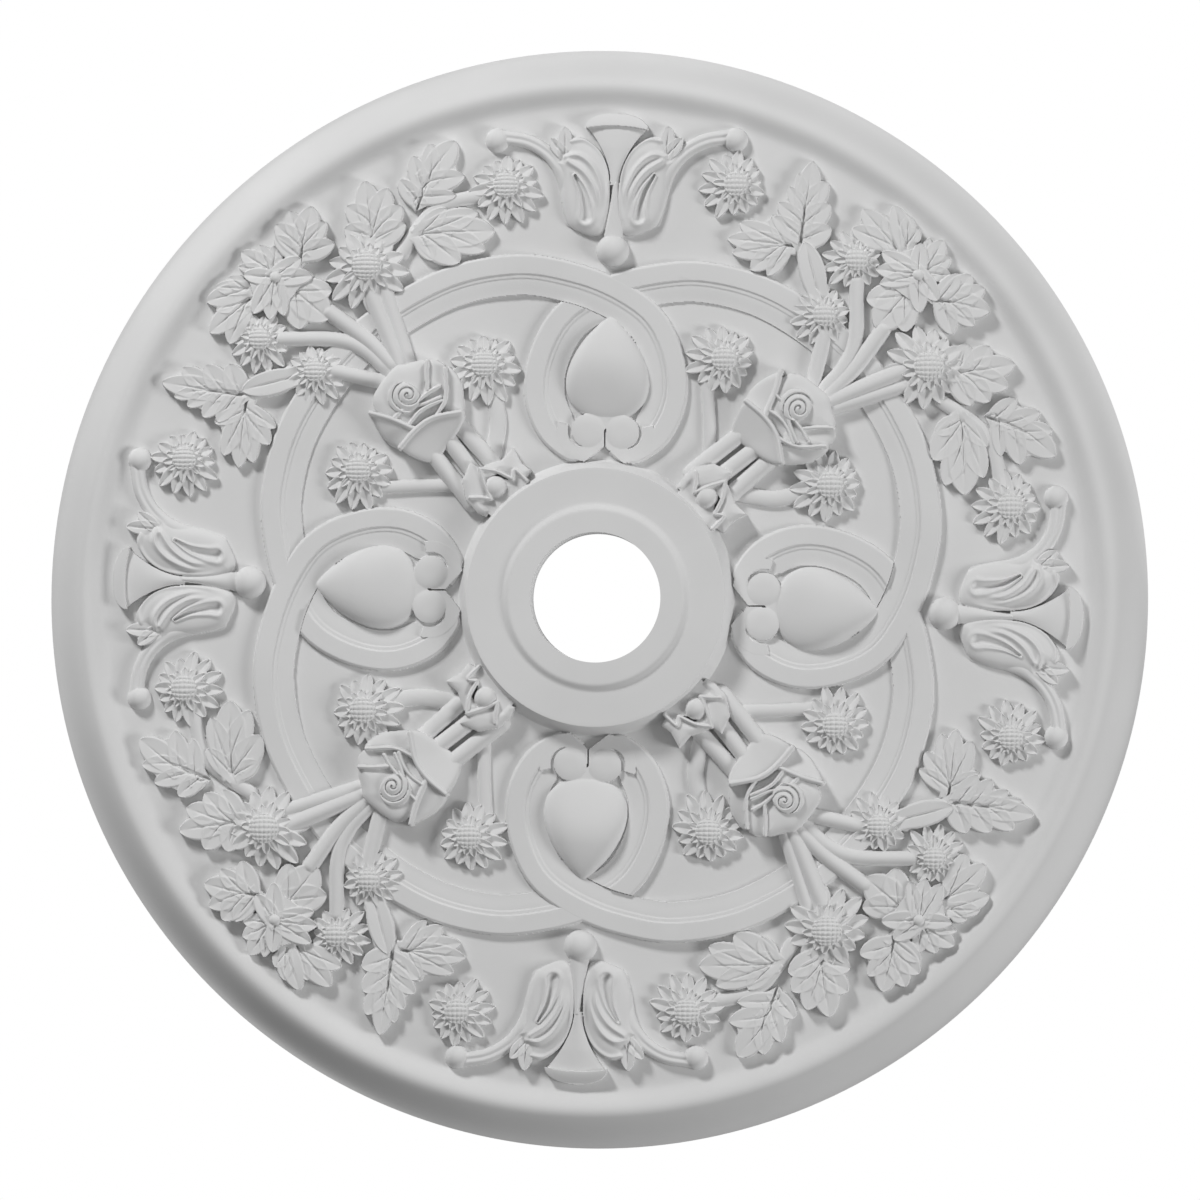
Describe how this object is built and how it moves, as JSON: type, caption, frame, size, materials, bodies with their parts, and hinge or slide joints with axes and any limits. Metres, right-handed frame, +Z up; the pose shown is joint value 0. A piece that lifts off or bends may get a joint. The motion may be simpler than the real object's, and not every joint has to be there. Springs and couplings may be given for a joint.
{
  "type": "ceiling rose",
  "caption": "Round moulded ceiling rose with a stepped collar round a central lamp hole, interlaced straps, egg bosses, palmettes and flower sprays inside a rolled rim.",
  "frame": {"origin": "centre of the round, flat back, on the plane that lies against the ceiling", "axes": "+Z up into the ceiling, out of the flat back; the carved face looks down along -Z; +X to the right of the picture and -Y to its top"},
  "size_m": [0.914, 0.914, 0.049],
  "materials": {
    "primer": "factory-primed matte white moulding"
  },
  "bodies": {
    "root": {"ceiling_rose": "primer"}
  },
  "joints": []
}
